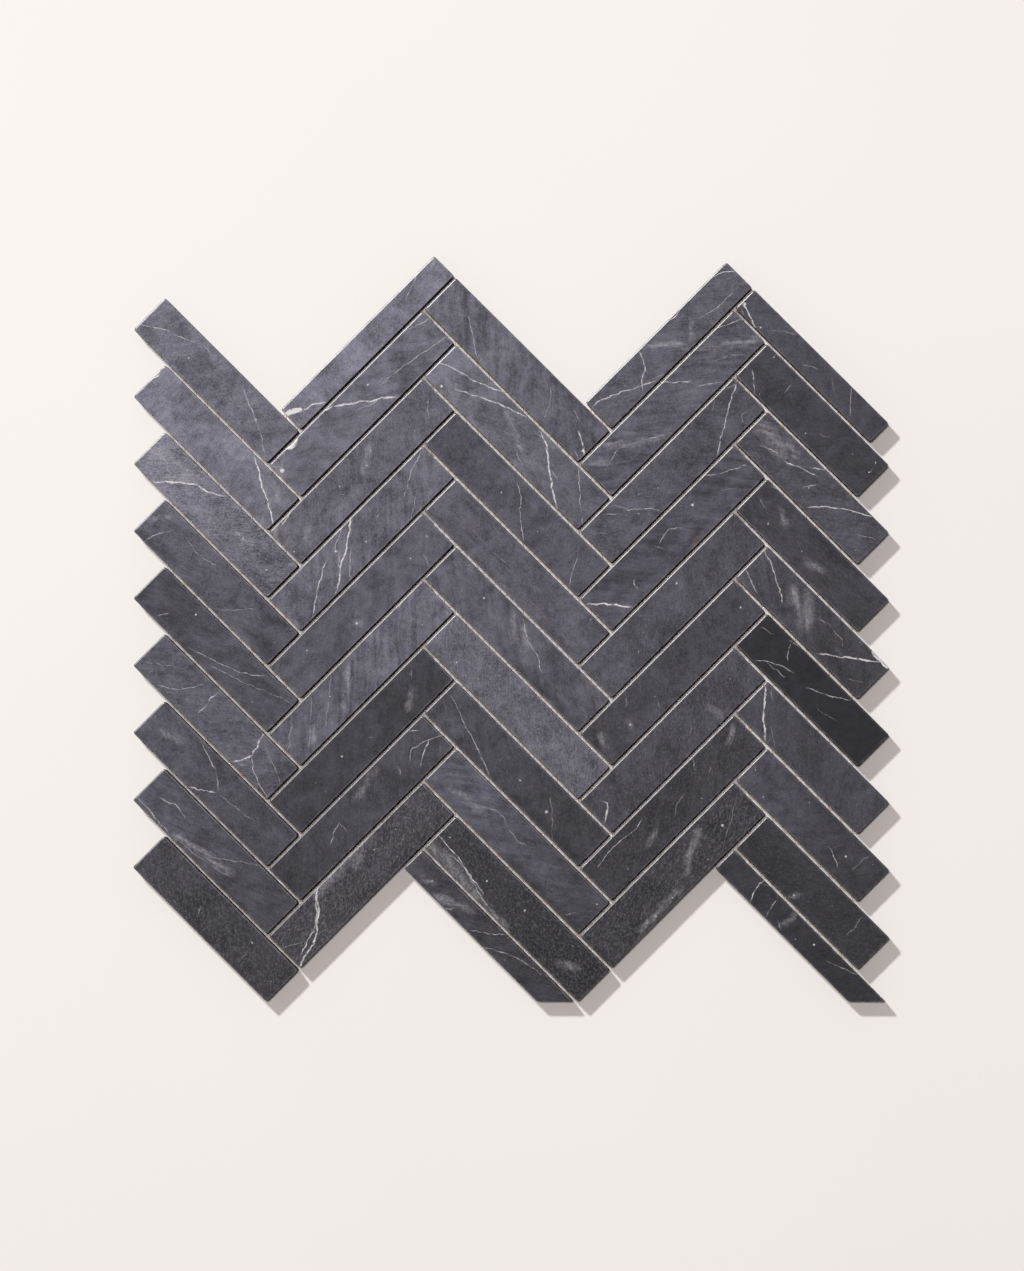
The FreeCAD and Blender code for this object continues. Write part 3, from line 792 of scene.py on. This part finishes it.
    # upright corners: rings about a core, rounded; sides that stray inwards a little
    plan = (1.0, 1.0, 0.0)
    level = add(tree, VECTOR, where, plan, operation="MULTIPLY")
    core = add(tree, VECTOR, half, (CORNER, CORNER, 0.0), operation="SUBTRACT")
    inner = add(tree, VECTOR, level, core, operation="MINIMUM")
    inner = add(tree, VECTOR, inner, add(tree, VECTOR, core, sockets={"Scale": -1.0}, operation="SCALE"),
                operation="MAXIMUM")
    outward = add(tree, VECTOR, add(tree, VECTOR, level, inner, operation="SUBTRACT"), operation="NORMALIZE")
    ring = add(tree, MATH, CORNER, inset, operation="SUBTRACT")
    outline = add(tree, VECTOR, add(tree, VECTOR, outward, sockets={"Scale": ring}, operation="SCALE"), inner,
                  operation="ADD")
    stray = add(tree, NOISE, where, given["Seed"], sockets={"Scale": 1 / 30, "Detail": 2.0},
                noise_dimensions="4D", out="Color")
    sound = add(tree, VECTOR, half, add(tree, VECTOR, stray, (SAW_WANDER, SAW_WANDER, 0.0),
                                        operation="MULTIPLY"), operation="SUBTRACT")
    outline = add(tree, VECTOR, outline, add(tree, VECTOR, sound, half, operation="DIVIDE"),
                  operation="MULTIPLY")
    stands = add(tree, MATH, add(tree, MATH, half_height, sunk, operation="SUBTRACT"),
                 add(tree, SPLIT, sides, out="Z"), operation="MULTIPLY")
    shape = add(tree, "GeometryNodeSetPosition", shape, None,
                add(tree, VECTOR, outline, add(tree, JOIN, 0.0, 0.0, stands), operation="ADD"))

    # mitred far end: the near side is shortened
    share = add(tree, VECTOR, add(tree, VECTOR, where, size, operation="DIVIDE"), (0.5, 0.5, 0.5),
                operation="ADD")
    share_x, share_y = add(tree, SPLIT, share).node.outputs[:2]
    short = add(tree, MATH, add(tree, MATH, share_y, 1.0, operation="SUBTRACT"), share_x,
                operation="MULTIPLY")
    short = add(tree, MATH, short, given["Mitre"], operation="MULTIPLY")
    shape = add(tree, "GeometryNodeSetPosition", shape, None, None, add(tree, JOIN, short))
    lay = add(tree, VECTOR, where, half, operation="ADD")
    shape = add(tree, "GeometryNodeStoreNamedAttribute", shape, None, "lay", lay, data_type="FLOAT_VECTOR",
                domain="POINT")

    shape = add(tree, "GeometryNodeSetShadeSmooth", shape)
    shape = add(tree, "GeometryNodeTransform", shape, sockets={
        "Translation": given["Place"], "Rotation": given["Turn"], "Scale": (MM, MM, MM)})
    shape = add(tree, "GeometryNodeRealizeInstances", shape)
    shape = add(tree, "GeometryNodeSetMaterial", shape, None, given["Honed"])
    facing_up = add(tree, SPLIT, add(tree, "GeometryNodeInputNormal"), out="Z")
    aside = add(tree, MATH, facing_up, SIDE_LIMIT, operation="LESS_THAN")
    shape = add(tree, "GeometryNodeSetMaterial", shape, aside, given["Sawn"])
    add(tree, "NodeGroupOutput", shape)
    return tree


def corners(node):
    """A node's corner points in mm."""
    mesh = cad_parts[node].data
    points = np.empty(len(mesh.vertices) * 3)
    mesh.vertices.foreach_get("co", points)
    return points.reshape(-1, 3) / MM


def strip_frame(node):
    """Where a strip lies: its slope, its middle and its sizes along, across and up, and its mitre."""
    falls = int(node.split("_")[1]) % 2 == 1
    slope = -math.pi / 4 if falls else math.pi / 4
    along = np.array((math.cos(slope), math.sin(slope), 0.0))
    across = np.array((-math.sin(slope), math.cos(slope), 0.0))
    lay = corners(node) @ np.array((along, across, (0.0, 0.0, 1.0))).T
    low, high = lay.min(axis=0), lay.max(axis=0)
    near_side = lay[lay[:, 1] < low[1] + 1.0]
    mitred = high[0] - near_side[:, 0].max() > 1.0
    middle = (low + high) / 2
    place = (along * middle[0] + across * middle[1] + np.array((0.0, 0.0, middle[2]))) * MM
    return slope, place, high - low, (high - low)[1] if mitred else 0.0


def along_line(points, line):
    """Signed distance of points from a crooked line, and how far they are inside its ends, in mm."""
    nearest = np.full(len(points), np.inf)
    signed = np.zeros(len(points))
    inside = np.zeros(len(points))
    lengths = [math.dist(a, b) for a, b in zip(line, line[1:])]
    total, gone = sum(lengths), 0.0
    for start, end, length in zip(np.array(line[:-1]), np.array(line[1:]), lengths):
        way = (end - start) / length
        offset = points - start
        run = offset @ way
        held = np.clip(run, 0.0, length)
        gap = offset - held[:, None] * way
        distance = np.hypot(gap[:, 0], gap[:, 1])
        side = np.where(offset[:, 0] * way[1] - offset[:, 1] * way[0] < 0, 1.0, -1.0)
        here = gone + run
        closer = distance < nearest
        nearest = np.where(closer, distance, nearest)
        signed = np.where(closer, distance * side, signed)
        inside = np.where(closer, np.minimum(here, total - here), inside)
        gone += length
    return signed, inside


def break_notches(piece, node, slope, width):
    """Pushes a strip's edge in at its notches, most at the face and fading out halfway down the side."""
    mesh = piece.data
    lay = np.empty(len(mesh.vertices) * 3)
    mesh.attributes["lay"].data.foreach_get("vector", lay)
    along, across, height = lay.reshape(-1, 3).T
    place = np.empty(lay.size)
    mesh.vertices.foreach_get("co", place)
    place = place.reshape(-1, 3)
    for edge, start, end, depth in NOTCHES.get(node, ()):
        run, reach, inward = (along, width - across, slope - math.pi / 2) if edge == "upper" else (
            across, along, slope)
        bite = np.sqrt(np.clip(1 - ((run - (start + end) / 2) / ((end - start) / 2)) ** 2, 0.0, 1.0))
        bite *= depth * np.clip(1 - reach / NOTCH_REACH, 0.0, 1.0)
        bite *= np.clip(height / NOTCH_FADE - 1, 0.0, 1.0)
        place[:, :2] += bite[:, None] * (math.cos(inward) * MM, math.sin(inward) * MM)
    mesh.vertices.foreach_set("co", place.ravel())


def write_stone(piece, number, node):
    """Gives a strip its level, partly its own tone and partly painted sheen, and its bedding and veins, as
    attributes on its points.
    """
    tone_and_painted_sheen, painted_sheen_drift, slope, strength, frost, veins = STRIPS[node]
    mesh = piece.data
    count = len(mesh.vertices)
    lay = np.empty(count * 3)
    mesh.attributes["lay"].data.foreach_get("vector", lay)
    flat = lay.reshape(-1, 3)[:, :2]
    turn = math.radians(slope)
    # a painted change of sheen along the strip, from its near end to its far end
    level = PAINTED_SHEEN_AND_TONE_WORDS[tone_and_painted_sheen] * (1 + painted_sheen_drift * (flat[:, 0] / flat[:, 0].max() - 0.5))
    values = {"stone": np.column_stack((level, np.full(count, frost), np.full(count, number))),
              "bedding": np.tile((math.cos(turn), math.sin(turn), strength * BEDDING), (count, 1))}
    for group in range(DARK_GROUP + 1):
        values[f"vein_at_{group}"] = np.full((count, 3), FAR_VEIN)
        values[f"vein_half_{group}"] = np.ones((count, 3))
        values[f"vein_show_{group}"] = np.zeros((count, 3))
    used = {}
    specks = []
    for kind, *line in veins:
        if kind == "speck":
            specks += line
            continue
        half, show = VEIN_KINDS[kind]
        first = 3 * GROUP_OF.get(kind, 0)
        group, channel = divmod(first + used.get(first, 0), 3)
        used[first] = used.get(first, 0) + 1
        signed, inside = along_line(flat, line)
        fade = np.clip((inside + half) / (VEIN_TAPER + half), 0.0, 1.0)
        values[f"vein_at_{group}"][:, channel] = signed
        values[f"vein_half_{group}"][:, channel] = half
        values[f"vein_show_{group}"][:, channel] = show * fade
    for turn in range(2):
        values[f"speck_{turn}"] = np.tile((FAR_SPECK, FAR_SPECK, 1.0), (count, 1))
        for x, y, radius in specks[turn::2]:
            offset = flat - (x, y)
            near = np.hypot(offset[:, 0], offset[:, 1]) < SPECK_REACH
            values[f"speck_{turn}"][near] = np.column_stack((offset, np.full(count, radius)))[near]
    for name, value in values.items():
        attribute = mesh.attributes.new(name, "FLOAT_VECTOR", "POINT")
        attribute.data.foreach_set("vector", value.ravel())


def marble_strips():
    """Every strip of the sheet, in its own node's place."""
    tree = strip_tree()
    honed, sawn = honed_marble(), sawn_marble()
    for number, node in enumerate(sorted(STRIPS), start=1):
        slope, place, size, mitre = strip_frame(node)
        inputs = {"Length": size[0], "Width": size[1], "Thickness": size[2], "Mitre": mitre,
                  "Seed": float(number), "Turn": (0.0, 0.0, slope), "Place": tuple(place),
                  "Honed": honed, "Sawn": sawn}
        piece = make_mesh(tree, f"{node}_honed", inputs)
        break_notches(piece, node, slope, size[1])
        write_stone(piece, number, node)
        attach(piece, "root")
        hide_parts(node)


def thread_tree():
    """Domed threads along centre lines, wandering a little, and sagging between the threads they cross."""
    tree = bpy.data.node_groups.new("laid_threads", "GeometryNodeTree")
    tree.interface.new_socket("Threads", in_out="OUTPUT", socket_type="NodeSocketGeometry")
    tree.interface.new_socket("Lines", in_out="INPUT", socket_type="NodeSocketGeometry")
    for name in ("Width", "Thickness", "Pitch", "Sag", "Seed"):
        tree.interface.new_socket(name, in_out="INPUT", socket_type="NodeSocketFloat")
    tree.interface.new_socket("Finish", in_out="INPUT", socket_type="NodeSocketMaterial")
    given = add(tree, "NodeGroupInput").node.outputs
    where = add(tree, "GeometryNodeInputPosition")
    lines = add(tree, "GeometryNodeMeshToCurve", given["Lines"])
    step = add(tree, MATH, given["Pitch"], THREAD_STEPS, operation="DIVIDE")
    lines = add(tree, "GeometryNodeResampleCurve", lines, sockets={"Length": step}, mode="LENGTH")
    stray = add(tree, NOISE, where, given["Seed"], sockets={"Scale": 1 / (14 * MM), "Detail": 2.0},
                noise_dimensions="4D", out="Color")
    stray = add(tree, VECTOR, stray, (0.5, 0.5, 0.5), operation="SUBTRACT")
    reach = 2 * THREAD_WANDER * MM
    stray = add(tree, VECTOR, stray, (reach, reach, 0.0), operation="MULTIPLY")
    turns = add(tree, MATH, add(tree, SPLIT, where, out="Y"), given["Pitch"], operation="DIVIDE")
    wave = add(tree, MATH, add(tree, MATH, turns, math.tau, operation="MULTIPLY"), operation="COSINE")
    wave = add(tree, RANGE, wave, -1.0, 1.0, 1.0, 0.0)
    sag = add(tree, MATH, wave, given["Sag"], operation="MULTIPLY")
    stray = add(tree, VECTOR, stray, add(tree, JOIN, 0.0, 0.0, sag), operation="SUBTRACT")
    lines = add(tree, "GeometryNodeSetPosition", lines, None, None, stray)
    lines = add(tree, "GeometryNodeSetCurveNormal", lines, mode="Z_UP")
    dome = add(tree, "GeometryNodeCurveArc", THREAD_SIDES, sockets={
        "Radius": 0.5, "Start Angle": math.pi, "Sweep Angle": math.pi}, mode="RADIUS")
    dome = add(tree, "GeometryNodeSetSplineCyclic", dome, None, True)
    dome = add(tree, "GeometryNodeTransform", dome, sockets={"Translation": (0.0, 0.25, 0.0)})
    double = add(tree, MATH, given["Thickness"], 2.0, operation="MULTIPLY")
    dome = add(tree, "GeometryNodeTransform", dome, sockets={
        "Scale": add(tree, JOIN, given["Width"], double, 1.0)})
    shape = add(tree, "GeometryNodeCurveToMesh", lines, dome, sockets={"Fill Caps": True})
    shape = add(tree, "GeometryNodeSetShadeSmooth", shape)
    shape = add(tree, "GeometryNodeRealizeInstances", shape)
    shape = add(tree, "GeometryNodeSetMaterial", shape, None, given["Finish"])
    add(tree, "NodeGroupOutput", shape)
    return tree


def thread_boxes(node):
    """The lowest and highest corner of each thread of a mesh node, in mm."""
    points = np.round(corners(node), 3)
    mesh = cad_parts[node].data
    owner = {}

    def root(key):
        while owner.setdefault(key, key) != key:
            key = owner[key]
        return key

    for face in mesh.polygons:
        keys = [tuple(points[i]) for i in face.vertices]
        for key in keys[1:]:
            owner[root(key)] = root(keys[0])
    groups = {}
    for key in list(owner):
        groups.setdefault(root(key), []).append(key)
    return [(np.min(group, axis=0), np.max(group, axis=0)) for group in groups.values()]


def mesh_threads():
    """The two layers of the backing mesh: the weft lies flat, the warp rides over it."""
    tree = thread_tree()
    for seed, (node, axis) in enumerate((("mesh_weft", 0), ("mesh_warp", 1)), start=1):
        ends, places = [], set()
        for low, high in thread_boxes(node):
            middle = (low + high) / 2
            first, last = middle.copy(), middle.copy()
            first[axis], last[axis] = low[axis], high[axis]
            ends += [first * MM, last * MM]
            places.add(round(middle[1 - axis], 2))
        side = (high - low) * MM
        lines = bpy.data.meshes.new(f"{node}_lines")
        lines.from_pydata(ends, [(i, i + 1) for i in range(0, len(ends), 2)], [])
        pitch = min(np.diff(sorted(places)))
        inputs = {"Width": side[1 - axis], "Thickness": side[2], "Pitch": pitch * MM,
                  "Sag": side[2] * THREAD_SAG * axis, "Seed": float(seed),
                  "Finish": resin_glass_fibre(axis == 0)}
        piece = make_mesh(tree, f"{node}_threads", inputs, lines)
        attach(piece, "root")
        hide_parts(node)


def floor():
    """A pale board that the sheet lies on, a hair below the threads so that no two faces meet."""
    half, top = 2.0, -0.02 * MM
    mesh = bpy.data.meshes.new("board")
    mesh.from_pydata([(-half, -half, top), (half, -half, top), (half, half, top), (-half, half, top)], [],
                     [(0, 1, 2, 3)])
    mesh.materials.append(painted_board())
    board = bpy.data.objects.new("board", mesh)
    bpy.context.scene.collection.objects.link(board)


def lamp(name, colour, azimuth, elevation, distance, size, share):
    """A round lamp that gives a level surface so much of full light; azimuth counts from +X towards +Y."""
    turn, lift = math.radians(azimuth), math.radians(elevation)
    way = Vector((math.cos(turn) * math.cos(lift), math.sin(turn) * math.cos(lift), math.sin(lift)))
    light = bpy.data.lights.new(name, "AREA")
    light.color = linear(colour)[:3]
    light.shape = "DISK"
    light.size = size
    light.energy = math.pi ** 2 * distance ** 2 * share / math.sin(lift)
    lit = bpy.data.objects.new(name, light)
    lit.location = way * distance
    lit.rotation_euler = way.to_track_quat("Z", "Y").to_euler()
    bpy.context.scene.collection.objects.link(lit)


def light_and_camera():
    """A key light nearly along the falling joints, one almost overhead on the same side, which leaves part of
    a rising joint's floor dark, even light all round, and the photograph's view."""
    scene = bpy.context.scene
    scene.view_settings.view_transform = "Standard"
    lamp("key", "ffffff", KEY_AZIMUTH, KEY_ELEVATION, LAMP_DISTANCE, LAMP_SIZE, KEY_SHARE)
    lamp("top", FILL, KEY_AZIMUTH, TOP_ELEVATION, LAMP_DISTANCE, LAMP_SIZE, TOP_SHARE)
    world = bpy.data.worlds.new("even_light")
    world.use_nodes = True
    world.node_tree.nodes["Background"].inputs["Color"].default_value = linear(FILL)
    world.node_tree.nodes["Background"].inputs["Strength"].default_value = WORLD_SHARE
    scene.world = world
    lean = (math.sin(CAMERA_LEAN_X), math.sin(CAMERA_LEAN_Y))
    back = Vector((*lean, math.sqrt(1 - lean[0] ** 2 - lean[1] ** 2)))
    right = Vector((0.0, 1.0, 0.0)).cross(back).normalized()
    up = back.cross(right)
    camera = bpy.data.cameras.new("camera")
    camera.sensor_fit = "VERTICAL"
    camera.sensor_height = SENSOR
    camera.lens = FOCAL_PIXELS * SENSOR / PHOTO_HEIGHT
    camera.clip_end = 20.0
    view = bpy.data.objects.new("camera", camera)
    turn = Matrix((right, up, back)).transposed().to_4x4()
    view.matrix_world = Matrix.Translation(CAMERA_AIM + back * CAMERA_DISTANCE) @ turn
    scene.collection.objects.link(view)
    scene.camera = view


marble_strips()
mesh_threads()
floor()
light_and_camera()
